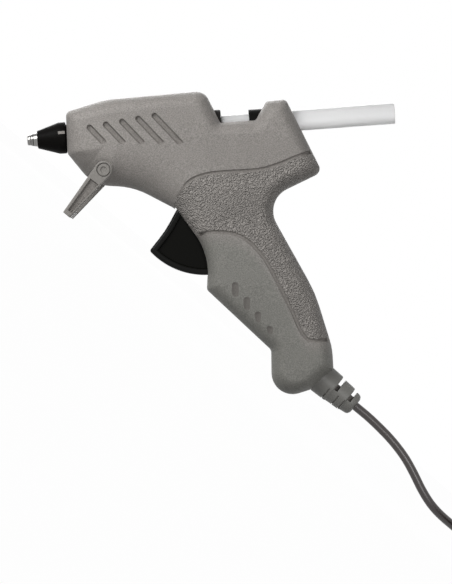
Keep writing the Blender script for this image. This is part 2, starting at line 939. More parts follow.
class Workshop:
    """Turns bmeshes into dressed objects that ride on the model's bodies."""

    @staticmethod
    def placed(name: str, data: bpy.types.ID) -> Object:
        """Puts an object of some data into the scene.

        Args:
            name: the object's name.
            data: its mesh, curve, camera or light.

        Returns:
            The object.
        """
        obj = bpy.data.objects.new(name, data)
        bpy.context.scene.collection.objects.link(obj)
        return obj

    @classmethod
    def raw(cls, name: str, bm: BMesh, *looks: Look) -> Object:
        """Makes an object from a bmesh.

        Args:
            name: the object's name.
            bm: its shape, which is freed.
            looks: its finishes, in the order of the faces' material numbers.

        Returns:
            The object.
        """
        mesh = bpy.data.meshes.new(name)
        bm.to_mesh(mesh)
        bm.free()
        for look in looks:
            mesh.materials.append(look.material())
        return cls.placed(name, mesh)

    @staticmethod
    def drop(obj: Object) -> None:
        """Removes an object and its mesh."""
        mesh = obj.data
        bpy.data.objects.remove(obj)
        bpy.data.meshes.remove(mesh)

    @classmethod
    def taken(cls, obj: Object) -> BMesh:
        """Turns an object back into a bmesh.

        Args:
            obj: the object, which is removed.

        Returns:
            Its shape.
        """
        bm = bmesh.new()
        bm.from_mesh(obj.data)
        cls.drop(obj)
        return bm

    @staticmethod
    def numbered(bm: BMesh, number: int) -> BMesh:
        """Gives all faces of a shape one material number.

        Args:
            bm: the shape.
            number: which of the object's finishes they get.

        Returns:
            The same shape.
        """
        for face in bm.faces:
            face.material_index = number
        return bm

    @classmethod
    def carve(cls, obj: Object, cutters: Sequence[BMesh], finish: int = 0) -> None:
        """Cuts shapes out of an object, one after another.

        Args:
            obj: the object, whose mesh is replaced.
            cutters: closed shapes, which are freed.
            finish: which of the object's finishes the cut faces get.
        """
        for number, bm in enumerate(cutters):
            tool = cls.raw(f"cutter_{number}", cls.numbered(bm, finish))
            for material in obj.data.materials:
                tool.data.materials.append(material)
            mod = obj.modifiers.new("cut", "BOOLEAN")
            mod.operation = "DIFFERENCE"
            mod.solver = "EXACT"
            mod.object = tool
            graph = bpy.context.evaluated_depsgraph_get()
            cut = bpy.data.meshes.new_from_object(obj.evaluated_get(graph))
            old = obj.data
            obj.modifiers.clear()
            obj.data = cut
            bpy.data.meshes.remove(old)
            cls.drop(tool)

    @staticmethod
    def finish(
        obj: Object, body: Body, node: str, slot: str, place: Matrix | None = None, sharp: float = 32.0,
        weighted: bool = False,
    ) -> Object:
        """Sets an object in the model's frame, on its body.

        Args:
            obj: the object, still in its making frame, with its finishes.
            body: the body that it rides on.
            node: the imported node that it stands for.
            slot: the record's material slot.
            place: matrix from the making frame to the model's, or None for the gun's frame.
            sharp: angle in degrees past which an edge shows as sharp.
            weighted: whether large faces keep their own shading.

        Returns:
            The same object.
        """
        mesh = obj.data
        mesh.transform(GUN.matrix() if place is None else place)
        mesh.polygons.foreach_set("use_smooth", [True] * len(mesh.polygons))
        mesh.set_sharp_from_angle(angle=math.radians(sharp))
        mesh.update()
        if weighted:
            mod = obj.modifiers.new("even_shading", "WEIGHTED_NORMAL")
            mod.keep_sharp = True
        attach(obj, body.value)
        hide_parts(node)
        return obj


@dataclass
class HousingShape:
    """The moulded housing's outline and sizes, in gun millimetres.

    Each corner has X, Z and a radius. The belly is the rounder rim under the barrel, by corner number.
    """

    corners: tuple[Point3, ...] = (
        (0.6, 9.4, 2.2), (15.7, 12.9, 25), (53.4, 13.55, 5), (58.6, 1.2, 0.8), (72, 1.1, 1.5),
        (76.5, 7.85, 1.6), (84, 8.15, 2.2), (95.7, -20.2, 2.6), (72.8, -29.3, 9.5), (89.7, -65.5, 50),
        (94.7, -87, 25), (94.6, -94.9, 1), (85.5, -102.2, 3), (70.4, -105.8, 8), (71.6, -86.2, 2.5),
        (48.9, -61.6, 2), (50.6, -47.5, 25), (39, -29.9, 6), (24, -20.65, 28), (8.7, -18.7, 14),
        (0, -6.2, 3),
    )
    half_width: float = 14.2
    taper: float = 0.028
    wall: float = 2.0
    edge_in: float = 5.5
    edge_deep: float = 9.0
    step: float = math.radians(6)
    rings: int = 12
    belly: dict[int, float] = field(default_factory=lambda: {17: 2.2, 18: 3.0, 19: 2.4, 20: 1.3})
    belly_deep: dict[int, float] = field(default_factory=lambda: {17: 1.2, 18: 1.38, 19: 1.36, 20: 1.1})
    belly_soft: float = 6.0
    rim_soft: float = 2.5
    least_radius: float = 0.2
    room_share: float = 0.45

    top_line = (
        (39.9, -26.1), (45.2, -20.4), (51.4, -18.2), (58.8, -17.8), (70.9, -17.9), (78.3, -16.6),
        (85.1, -14.4), (90.4, -12.9), (94.2, -12.2),
    )
    low_line = (
        (47.5, -40.6), (52.6, -40.0), (60.1, -41.1), (65.1, -43.8), (68.9, -47.9), (73.0, -54.6),
        (79.9, -70.9), (82.4, -78.0), (84.9, -82.4), (88.0, -83.7), (95.0, -83.6),
    )

    def side(self, z: float) -> float:
        """Half width of the housing at a height in the gun's frame."""
        return self.half_width + self.taper * z

    def turn_steps(self, half: float) -> int:
        """Facets of a corner whose two sides meet at twice the given angle."""
        return max(2, math.ceil((math.pi - 2 * half) / self.step))

    def deepening(self) -> list[float]:
        """Finds how much deeper than elsewhere the rim is.

        Returns:
            A factor for each point of the outline.
        """
        out: list[float] = []
        count = len(self.corners)
        for i, corner in enumerate(self.corners):
            here = Vector(corner[:2])
            before = Vector(self.corners[i - 1][:2]) - here
            after = Vector(self.corners[(i + 1) % count][:2]) - here
            out += [self.belly_deep.get(i, 1.0)] * (self.turn_steps(before.angle(after) / 2) + 1)
        return out

    def inset(self, depth: float) -> list[Point2]:
        """The outline moved in by a depth, with the same number of points at any depth.

        Args:
            depth: how far in, in millimetres.

        Returns:
            X and Z of the points, clockwise from the near side.
        """
        spots = [Vector(c[:2]) for c in self.corners]
        nexts = spots[1:] + spots[:1]
        runs = [b - a for a, b in zip(spots, nexts)]
        ways = [(-runs[i - 1].normalized(), run.normalized()) for i, run in enumerate(runs)]
        halves = [math.acos(max(-1.0, min(1.0, a.dot(b)))) / 2 for a, b in ways]
        signs = [-1 if a.x * b.y - a.y * b.x < 0 else 1 for a, b in ways]
        deeps = [depth * self.belly.get(i, 1.0) for i in range(len(spots))]
        taken = [s * d / math.tan(h) for s, d, h in zip(signs, deeps, halves)]
        room = [run.length - a - b for run, a, b in zip(runs, taken, taken[1:] + taken[:1])]
        share = min(1.0, depth / self.edge_in)
        out: list[Point2] = []
        for i, here in enumerate(spots):
            radius, half, sign, deep = self.corners[i][2], halves[i], signs[i], deeps[i]
            fits = max(self.least_radius, self.room_share * min(room[i - 1], room[i]) * math.tan(half))
            least = self.belly_soft if i in self.belly else self.rim_soft
            soft = radius * (1 - share) + min(max(radius - deep, least), fits) * share
            r = soft if sign > 0 else radius + deep
            middle = (ways[i][0] + ways[i][1]).normalized()
            centre = here + middle * (sign * deep + r) / math.sin(half)
            sweep = math.pi / 2 - half
            steps = self.turn_steps(half)
            mid = math.atan2(-middle.y, -middle.x)
            for k in range(steps + 1):
                a = mid - sign * sweep * (2 * k / steps - 1)
                out.append((centre.x + r * math.cos(a), centre.y + r * math.sin(a)))
        return out


@dataclass
class Housing:
    """The two halves of the housing, with vents, grip lines, finger flutes and openings.

    A profile gives how far an outline grows and how deep it lies, from the outside to the floor of a cut.
    """

    shape: HousingShape = field(default_factory=HousingShape)
    face_in: float = 0.4
    joint_chamfer: float = 0.25
    joint_gap: float = 0.02
    inner_rings: int = 3
    thinnest: float = 0.04
    belly_wide: float = 1.2
    belly_from: float = 50.0
    belly_over: float = 11.0
    vent_count: int = 5
    vent_first: Point2 = (9.35, 2.6)
    vent_pitch: Point2 = (6.18, 0.66)
    vent_length: float = 8.0
    vent_longer: float = 1.62
    vent_lean: float = math.radians(-50.5)
    vent_skew: float = 0.45
    vent_width: float = 1.85
    vent_steps: int = 12
    vent_profile: tuple[Point2, ...] = (
        (0.3, -3), (0.3, 0), (0.16, 0.06), (0.06, 0.2), (0, 0.4), (-0.05, 0.85), (-0.15, 1.02), (-0.4, 1.1),
    )
    vent_low_soft: Point2 = (0.7, 0.5)
    vent_high_soft: Point2 = (0.5, 0.8)
    line_width: float = 1.5
    line_depth: float = 0.55
    line_margin: float = 0.5
    line_steps: int = 6
    flute_spots: tuple[tuple[float, float, float, float], ...] = (
        (59.6, -62.3, 5.2, 87), (63.5, -68.0, 5.0, 84), (67.2, -73.6, 4.6, 79), (71.3, -78.9, 3.6, 80),
    )
    flute_profile: tuple[Point2, ...] = (
        (0.5, -3), (0.5, 0), (0.25, 0.05), (0, 0.14), (-0.3, 0.26), (-0.65, 0.32),
    )
    flute_end: float = 1.1
    flute_radius: float = 0.8
    bores: tuple[Point3, ...] = ((-3, 4, 5.05), (46, 76.4, 6.7), (75.4, 82.5, 5.8), (80, 100, 4.5))
    slot_near: float = 11.6
    slot_far: float = 28.4
    slot_half: float = 5.7
    slot_turns: tuple[int, int, int] = (175, 191, 277)
    slot_step: int = 5
    cord_bore: Point3 = (-8, 12, 4.05)
    screws: tuple[Point2, ...] = ((14, 9.3), (46, 9.7), (28, -18.3), (87, -17), (86, -71))
    screw_well: Point3 = (5.0, 18.0, 2.5)

    def ring(self, depth: float, across: Callable[[float, float], float]) -> list[Vector]:
        """Points of one ring of the shell, on the near side.

        Args:
            depth: how far the outline is moved in.
            across: distance from the joint at a height and for a deepening of the rim.

        Returns:
            The ring's points.
        """
        outline = self.shape.inset(depth)
        return [Vector((x, -across(z, d), z)) for (x, z), d in zip(outline, self.shape.deepening())]

    def rings(self) -> list[list[Vector]]:
        """Sets the rings of the near half.

        Returns:
            Rings from the near face round the rim to the joint, then in to the inner face.
        """
        s = self.shape
        out = [self.ring(s.edge_in + self.face_in, lambda z, d: s.side(z))]
        for k in range(s.rings, -1, -1):
            t = math.pi / 2 * k / s.rings
            rim = s.edge_deep * (1 - math.sin(t))
            out.append(self.ring(s.edge_in * (1 - math.cos(t)), lambda z, d, rim=rim: s.side(z) - rim * d))
        out.append(self.ring(0, lambda z, d: self.joint_chamfer))
        out.append(self.ring(self.joint_chamfer, lambda z, d: self.joint_gap))
        out.append(self.ring(s.wall, lambda z, d: self.joint_gap))
        for k in range(self.inner_rings + 1):
            t = math.pi / 2 * k / self.inner_rings
            deep = s.wall + (s.edge_in - s.wall) * (1 - math.cos(t))
            rim = (s.edge_deep - s.wall) * (1 - math.sin(t))
            out.append(
                self.ring(deep, lambda z, d, rim=rim: max(self.thinnest, s.side(z) - s.wall - rim * d))
            )
        return out

    def shell(self) -> BMesh:
        """Makes the closed near half, with its large faces in triangles so that long lines can be cut.

        Returns:
            The shell.
        """
        bm = Shapes.loft(self.rings())
        bmesh.ops.triangulate(bm, faces=[f for f in bm.faces if len(f.verts) > 4])
        return bm

    def inside(self, x: float, z: float) -> float:
        """Finds how far a point of the side plane lies inside the outline.

        Args:
            x: place along the gun.
            z: height in the gun's frame.

        Returns:
            The distance in millimetres, negative where the point is outside.
        """
        outline = self.shape.inset(0)
        near, within = math.inf, False
        for a, b in zip(outline, outline[1:] + outline[:1]):
            run = Vector(b) - Vector(a)
            away = Vector((x, z)) - Vector(a)
            share = max(0.0, min(1.0, away.dot(run) / max(run.length_squared, 1e-9)))
            near = min(near, (away - run * share).length)
            if (a[1] > z) != (b[1] > z) and x < a[0] + (z - a[1]) / (b[1] - a[1]) * (b[0] - a[0]):
                within = not within
        return near if within else -near

    def surface(self, x: float, z: float) -> float:
        """Distance of the near half's outer face from the joint.

        Args:
            x: place along the gun.
            z: height in the gun's frame.

        Returns:
            The distance in millimetres.
        """
        s = self.shape
        wide = 1 + self.belly_wide * max(0.0, min(1.0, (self.belly_from - x) / self.belly_over))
        level = 1 - max(0.0, min(1.0, self.inside(x, z) / (s.edge_in * wide)))
        return s.side(z) - s.edge_deep * (1 - math.sqrt(1 - level**2))

    def scoop(self, outline: Sequence[Point2], profile: Sequence[Point2], lower: float = 0.0) -> BMesh:
        """A cutter that sinks an outline into the near face.

        Args:
            outline: X and Z of the outline, counter-clockwise.
            profile: the cut's profile.
            lower: how far the face lies below the housing's flat side there.

        Returns:
            The cutter.
        """
        rings = [[Vector((x, deep, z)) for x, z in grown(outline, by)] for by, deep in profile]
        bm = Shapes.loft(rings)
        tilt = Matrix.Rotation(math.atan(self.shape.taper), 4, "X")
        place = Matrix.Translation((0, lower - self.shape.half_width, 0)) @ tilt
        bmesh.ops.transform(bm, matrix=place, verts=bm.verts)
        return bm

    def vents(self) -> list[BMesh]:
        """Makes the slanting vent grooves: a rounded top, a level foot and soft rims.

        Returns:
            Their cutters.
        """
        w, lean = self.vent_width / 2, self.vent_lean
        way = Vector((math.cos(lean), math.sin(lean)))
        square = Vector((-math.sin(lean), math.cos(lean)))
        skew = self.vent_skew * w / math.tan(-lean)
        turns = [math.pi / 2 + math.pi * k / self.vent_steps for k in range(self.vent_steps + 1)]
        out = []
        for i in range(self.vent_count):
            top = Vector([first + pitch * i for first, pitch in zip(self.vent_first, self.vent_pitch)])
            length = self.vent_length + self.vent_longer * i
            outline = [top + way * w * math.cos(a) + square * w * math.sin(a) for a in turns]
            low = top + way * (length - skew) - square * w
            high = top + way * (length + skew) + square * w
            level = (high - low).normalized()
            before, after = self.vent_low_soft
            outline += softened(low, low - way * before, low + level * after)
            before, after = self.vent_high_soft
            outline += softened(high, high - level * before, high - way * after)
            out.append(self.scoop([tuple(p) for p in outline], self.vent_profile))
        return out

    def lines(self) -> list[BMesh]:
        """Makes the two lines that bound the textured grip.

        Returns:
            Their cutters.
        """
        raised = self.line_width / 2 - self.line_depth
        out = []
        for points in (self.shape.top_line, self.shape.low_line):
            course = [p for p in flat_spline(points, self.line_steps) if self.inside(*p) > self.line_margin]
            path = [Vector((x, -self.surface(x, z) - raised, z)) for x, z in course]
            out.append(Shapes.tube(path, self.line_width / 2))
        return out

    def flutes(self) -> list[BMesh]:
        """Makes the finger flutes along the front of the grip.

        Returns:
            Their cutters.
        """
        out = []
        for x, z, length, lean in self.flute_spots:
            a = math.radians(lean)
            way = Vector((math.cos(a), math.sin(a))) * (length / 2 - self.flute_end)
            outline = capsule((x - way.x, z - way.y), (x + way.x, z + way.y), self.flute_radius)
            out.append(self.scoop(outline, self.flute_profile, self.shape.side(z) - self.surface(x, z)))
        return out

    def openings(self) -> list[BMesh]:
        """Makes the nose hole, the stick's way, the trigger's slot and the cord's hole.

        Returns:
            Their cutters.
        """
        x, z = GUN.trigger
        front, foot, back = self.slot_turns
        reach = [(self.slot_near, front), (self.slot_near, foot)]
        reach += [(self.slot_far, a) for a in range(foot, back, self.slot_step)]
        slot = [(x + r * math.cos(math.radians(a)), z + r * math.sin(math.radians(a))) for r, a in reach]
        hole = Shapes.bar(*self.cord_bore)
        bmesh.ops.transform(hole, matrix=GUN.butt(), verts=hole.verts)
        bores = [Shapes.bar(*bore) for bore in self.bores]
        return [*bores, Shapes.prism([GUN.trigger, *slot], -self.slot_half, self.slot_half), hole]

    def build(self) -> list[Object]:
        """Makes both halves and sets them in the model.

        Returns:
            The near half and the far half.
        """
        near = Workshop.raw("housing_half_near", self.shell(), Look.HOUSING, Look.RECESS, Look.FLUTE)
        Workshop.carve(near, self.openings())
        Workshop.carve(near, self.lines() + self.vents(), 1)
        Workshop.carve(near, self.flutes(), 2)
        far = Workshop.placed("housing_half_far", near.data.copy())
        far.data.transform(Matrix.Scale(-1, 4, (0, 1, 0)))
        far.data.flip_normals()
        Workshop.carve(far, [Shapes.rod(at, *self.screw_well) for at in self.screws])
        halves = ((near, "housing_left"), (far, "housing_right"))
        return [
            Workshop.finish(obj, Body.HOUSING, node, "housing_grey", sharp=46, weighted=True)
            for obj, node in halves
        ]


@dataclass
class Nozzle:
    """The metal nozzle with its key, and its black insulator: X and radius of each profile's points."""

    cone: tuple[Point2, ...] = (
        (-12.5, 0.8), (-14.95, 0.8), (-14.95, 1.65), (-14.72, 1.88), (-13.9, 2.02), (-13.7, 1.92),
        (-13.5, 2.16), (-4.0, 4.2), (-4.0, 4.4), (-2.0, 4.4), (-2.0, 3.0), (5.0, 3.0), (5.0, 2.1),
        (-10.5, 1.2), (-12.5, 0.8),
    )
    sleeve: tuple[Point2, ...] = (
        (-11.1, 2.8), (-11.1, 3.15), (-10.85, 3.45), (-10.3, 3.6), (-3.1, 5.9), (-2.7, 5.98), (-0.6, 6.0),
        (-0.3, 5.9), (-0.15, 5.6), (-0.15, 5.0), (2.7, 5.0), (2.7, 6.4), (3.7, 6.4), (3.7, 4.7),
        (-1.9, 4.7), (-1.9, 4.45), (-4.1, 4.45), (-4.1, 4.25), (-11.1, 2.8),
    )
    key_span: Point2 = (-3, -0.4)
    key_radii: Point2 = (4.2, 6.15)
    key_start: float = 67
    key_sweep: float = 11

    def build(self) -> list[Object]:
        """Turns both pieces.

        Returns:
            The nozzle and its insulator.
        """
        key = Shapes.sector(self.key_span, self.key_radii, self.key_start, self.key_sweep)
        whole = Shapes.joined([Shapes.lathe(self.cone), Workshop.numbered(key, 1)])
        tip = Workshop.raw("nozzle", whole, Look.NOZZLE, Look.RECESS)
        cap = Workshop.raw("nozzle_cap", Shapes.lathe(self.sleeve), Look.INSULATOR)
        return [
            Workshop.finish(tip, Body.HOUSING, "nozzle_tip", "nozzle_metal"),
            Workshop.finish(cap, Body.HOUSING, "nozzle_insulator", "black_insulator"),
        ]


@dataclass
class GlueStick:
    """The clear stick through the gun."""

    radius: float = 3.9
    front: float = 25.0
    back: float = 124.88
    chamfer: float = 0.6
    end_round: float = 0.35
    end_flat: float = 0.1

    def build(self) -> list[Object]:
        """Turns the stick.

        Returns:
            The stick.
        """
        r, a, b = self.radius, self.front, self.back
        wide, mid = self.end_round, self.end_flat
        front = [(a, 0), (a, r - self.chamfer), (a + self.chamfer, r)]
        end = [(b - wide, r), (b - mid, r - mid), (b, r - wide), (b, 0)]
        stick = Workshop.raw("stick", Shapes.lathe(front + end, 96), Look.GLUE)
        return [Workshop.finish(stick, Body.STICK, "glue_stick", "clear_glue")]


@dataclass
class Trigger:
    """The finger trigger: a blade with a raised rim, its hub and its two drive arms."""

    top: Point2 = (39.8, -30.3)
    lip: Point2 = (29.0, -44.4)
    back: float = 52.0
    dish: float = 0.6
    radius: float = 28.1
    half: float = 5.4
    nose: float = 0.9
    rounding: float = 1.1
    round_steps: int = 4
    panel: tuple[Point2, ...] = ((1.9, -2), (1.9, 0), (2.3, 0.1), (2.6, 0.5), (2.6, 1.0))
    lead: float = 4.0
    front_steps: int = 5
    edge_steps: int = 14
    foot_steps: int = 32
    hub_half: float = 8.4
    hub_radius: float = 5.0
    arm_inner: float = 6.7
    arm_lean: float = math.radians(90 - 41.07)
    arm_reach: float = 24.0
    arm_radius: float = 3.4
    arm_rounding: float = 0.3
    slot_from: float = 18.8
    slot_radius: float = 2.0

    def outline(self, inset: float) -> list[Point2]:
        """The blade's outline: dished front, curved foot about the pivot and straight back.

        Args:
            inset: how far the front and the foot are moved in.

        Returns:
            X and Z of the outline.
        """
        pivot, top, lip = Vector(GUN.trigger), Vector(self.top), Vector(self.lip)
        front = (lip - top).normalized()
        inward = Vector((-front.y, front.x))
        bend = (top + lip) / 2 + inward * self.dish
        radius = self.radius - inset
        course = flat_spline([top - front * self.lead, top, bend, lip], self.front_steps)
        curve = [Vector(p) + inward * inset for p in course[self.front_steps :]]
        away = curve[-1] - pivot
        run = -away.dot(front) + math.sqrt(away.dot(front) ** 2 - away.length_squared + radius**2)
        corner = curve[-1] + front * run
        curve.append(corner)
        runs = [(b - a).length for a, b in zip(curve, curve[1:])]
        edge = []
        for k in range(self.edge_steps + 1):
            left = (sum(runs) - self.nose) * k / self.edge_steps
            i = 0
            while left > runs[i]:
                left -= runs[i]
                i += 1
            edge.append(curve[i].lerp(curve[i + 1], left / runs[i]))
        first = math.atan2(corner.y - pivot.y, corner.x - pivot.x) % FULL_TURN + self.nose / radius
        last = math.atan2(-radius, self.back - pivot.x) % FULL_TURN
        foot = []
        for k in range(self.foot_steps + 1):
            a = first + (last - first) * k / self.foot_steps
            foot.append(pivot + radius * Vector((math.cos(a), math.sin(a))))
        tip = softened(corner, edge[-1], foot[0])
        return [tuple(p) for p in edge[:-1] + tip + foot[1:]] + [(self.back, pivot.y)]

    def ring(self, inset: float, y: float) -> list[Vector]:
        """The blade's outline, moved in by an amount, at a place across the gun."""
        return [Vector((x, y, z)) for x, z in self.outline(inset)]

    def blade(self) -> BMesh:
        """Makes the blade, with a rounded, polished rim and a sunk panel on both sides.

        Returns:
            The blade.
        """
        body = []
        last = self.round_steps + 1
        for k in [*range(-last, 0), *range(1, last + 1)]:
            turn = math.pi / 2 * (abs(k) - 1) / self.round_steps
            y = math.copysign(self.half - self.rounding * (1 - math.sin(turn)), k)
            body.append(self.ring(self.rounding * (1 - math.cos(turn)), y))
        blade = Workshop.raw("blade", Shapes.loft(body), Look.RIM, Look.BLACK)
        for side in Side:
            rings = [self.ring(inset, side.value * (self.half - deep)) for inset, deep in self.panel]
            Workshop.carve(blade, [Shapes.loft(rings)], 1)
        return Workshop.taken(blade)

    def along(self, distance: float) -> Point2:
        """Point of the arms' line at a distance from the pivot."""
        x, z = GUN.trigger
        return x + distance * math.cos(self.arm_lean), z + distance * math.sin(self.arm_lean)

    def arm(self, y0: float, y1: float) -> BMesh:
        """Makes one drive arm with its slot for the carriage's pin.

        Args:
            y0: where the arm starts across the gun.
            y1: where it ends.

        Returns:
            The arm.
        """
        end = self.along(self.arm_reach)
        whole = Shapes.prism(capsule(GUN.trigger, end, self.arm_radius), y0, y1, self.arm_rounding)
        arm = Workshop.raw("arm", whole)
        slot = capsule(self.along(self.slot_from), end, self.slot_radius)
        Workshop.carve(arm, [Shapes.prism(slot, y0 - 1, y1 + 1)])
        return Workshop.taken(arm)

    def build(self) -> list[Object]:
        """Makes the trigger.

        Returns:
            The trigger.
        """
        low, high = self.arm_inner, self.hub_half
        hub = Shapes.rod(GUN.trigger, -high, high, self.hub_radius)
        whole = Shapes.joined([self.blade(), hub, self.arm(-high, -low), self.arm(low, high)])
        obj = Workshop.raw("finger_trigger", whole, Look.RIM, Look.BLACK)
        return [Workshop.finish(obj, Body.TRIGGER, "trigger", "black_plastic", weighted=True)]


@dataclass
class ReturnSpring:
    """The wire spring behind the trigger, which closes up as the trigger is pulled."""

    start: float = 52.4
    finish: float = 65.8
    height: float = -45.0
    mean: float = 2.6
    wire: float = 0.35
    turns: int = 6
    turn_steps: int = 20
    wire_steps: int = 8
    keep: float = 0.5

    def point(self, turn: float) -> Vector:
        """Point of the wire's middle.

        Args:
            turn: how many turns along the wire it is.

        Returns:
            The point, in gun millimetres.
        """
        a = FULL_TURN * turn
        x = self.start + (self.finish - self.start) * turn / self.turns
        return Vector((x, self.mean * math.cos(a), self.height + self.mean * math.sin(a)))

    def build(self) -> list[Object]:
        """Winds the spring and ties it to the trigger's joint.

        Returns:
            The spring.
        """
        axis = Vector((1, 0, 0))
        rings = []
        for k in range(self.turns * self.turn_steps + 1):
            here = self.point(k / self.turn_steps)
            out = Vector((0, here.y, here.z - self.height)).normalized()
            rings.append(circle(here, out, axis, self.wire, self.wire_steps))
        obj = Workshop.raw("wire_spring", Shapes.loft(rings), Look.STEEL)
        Workshop.finish(obj, Body.HOUSING, "return_spring", "steel", sharp=60)
        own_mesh(obj)
        return [obj]


@dataclass
class Stand:
    """The fold-out stand: two channelled legs, a foot bar and the studs, in floor millimetres."""

    height: float = GUN.leg
    head: float = 3.3
    foot: float = 1.6
    inner: float = 14.5
    thick: float = 3.0
    leg_rounding: float = 0.45
    head_steps: int = 24
    channel: tuple[Point2, ...] = ((-0.7, 1.8), (1.1, 1.8), (2.1, 16.4), (-1.7, 16.4))
    channel_deep: float = 1.2
    channel_rounding: float = 0.25
    eye_radius: float = 2.65
    eye_deep: float = 1.0
    bore_radius: float = 1.66
    past: float = 2.0
    bar_height: float = 3.0
    bar_into: float = 0.2
    bar_rounding: float = 0.4
    stud: tuple[Point2, ...] = (
        (9.7, 0), (9.7, 1.6), (16.45, 1.6), (16.45, 2.3), (16.6, 2.4), (17.0, 2.4), (17.2, 2.2),
        (17.2, 1.25), (17.0, 1.1), (16.7, 1.0), (16.7, 0),
    )

    def leg_outline(self) -> list[Point2]:
        """Outlines a leg, with its round head.

        Returns:
            X and Z of the outline.
        """
        turns = [math.pi * k / self.head_steps for k in range(self.head_steps + 1)]
        top = [(self.head * math.cos(a), self.height + self.head * math.sin(a)) for a in turns]
        return top + [(-self.foot, 0), (self.foot, 0)]

    def leg(self, side: Side) -> BMesh:
        """Makes one leg with its channel and stud recess.

        Args:
            side: which leg.

        Returns:
            The leg, in floor millimetres.
        """
        s, outer, axis = side.value, self.inner + self.thick, (0, self.height)
        solid = Shapes.prism(self.leg_outline(), s * self.inner, s * outer, self.leg_rounding, 3)
        leg = Workshop.raw(f"leg_{side.name.lower()}", solid, Look.STAND, Look.RECESS)
        beyond = s * (outer + self.past)
        sunk = Shapes.prism(self.channel, s * (outer - self.channel_deep), beyond, self.channel_rounding)
        eye = Shapes.rod(axis, s * (outer - self.eye_deep), beyond, self.eye_radius)
        bore = Shapes.rod(axis, s * (self.inner - 1), beyond, self.bore_radius)
        Workshop.carve(leg, [sunk], 1)
        Workshop.carve(leg, [eye, bore])
        return Workshop.taken(leg)

    def studs(self) -> BMesh:
        """Turns the two studs.

        Returns:
            Both studs, in floor millimetres.
        """
        lift = Matrix.Translation((0, 0, self.height))
        out = []
        for side in Side:
            bm = Shapes.lathe(self.stud, 40)
            place = lift @ Matrix.Rotation(side.value * math.pi / 2, 4, "Z")
            bmesh.ops.transform(bm, matrix=place, verts=bm.verts)
            out.append(bm)
        return Shapes.joined(out)

    def build(self) -> list[Object]:
        """Makes the stand and its studs.

        Returns:
            The stand and the pair of studs.
        """
        half = self.inner + self.bar_into
        bar = Shapes.block((-self.foot, -half, 0), (self.foot, half, self.bar_height), self.bar_rounding)
        whole = Shapes.joined([bar, *(self.leg(side) for side in Side)])
        frame = Workshop.raw("stand_frame", whole, Look.STAND, Look.RECESS)
        Workshop.finish(frame, Body.STAND, "stand", "housing_grey", FLOOR_MM, weighted=True)
        rivets = Workshop.raw("stand_rivets", self.studs(), Look.STAND)
        Workshop.finish(rivets, Body.HOUSING, "stand_studs", "housing_grey", FLOOR_MM)
        return [frame, rivets]


@dataclass
class Relief:
    """The slotted strain relief at the butt, level with the floor: X and radius of its profile."""

    profile: tuple[Point2, ...] = (
        (-4.4, 1.72), (-4.4, 5.4), (-3.2, 5.4), (-3.2, 4.0), (-0.7, 4.0), (-0.7, 6.0), (5.4, 5.75),
        (5.6, 5.7), (5.9, 5.5), (7.2, 5.35), (11.9, 5.1), (12.2, 4.8), (13.3, 4.6), (14.9, 4.4),
        (15.7, 4.0), (16.2, 3.1), (16.2, 1.72), (-4.4, 1.72),
    )
    slots: tuple[Point2, ...] = ((5.9, 7.4), (12.2, 13.7))
    slot_floor: float = 2.3
    slot_turn: Point2 = (-92, 184)
    nicks: tuple[Point2, ...] = ((4.2, 5.3), (8.6, 4.8), (11.4, 4.65))
    nick_width: float = 0.35
    nick_turn: Point2 = (100, 160)
    outside: float = 8
    cut_steps: int = 24

    def build(self) -> list[Object]:
        """Makes the strain relief.

        Returns:
            The strain relief.
        """
        obj = Workshop.raw("bend_relief", Shapes.lathe(self.profile, 64), Look.RELIEF, Look.RECESS)
        radii = (self.slot_floor, self.outside)
        cuts = [Shapes.sector(span, radii, *self.slot_turn, self.cut_steps) for span in self.slots]
        for x, r in self.nicks:
            span = (x, x + self.nick_width)
            cuts.append(Shapes.sector(span, (r, self.outside), *self.nick_turn, self.cut_steps))
        Workshop.carve(obj, cuts, 1)
        place = GUN.matrix() @ GUN.butt()
        return [Workshop.finish(obj, Body.HOUSING, "strain_relief", "relief_grey", place)]


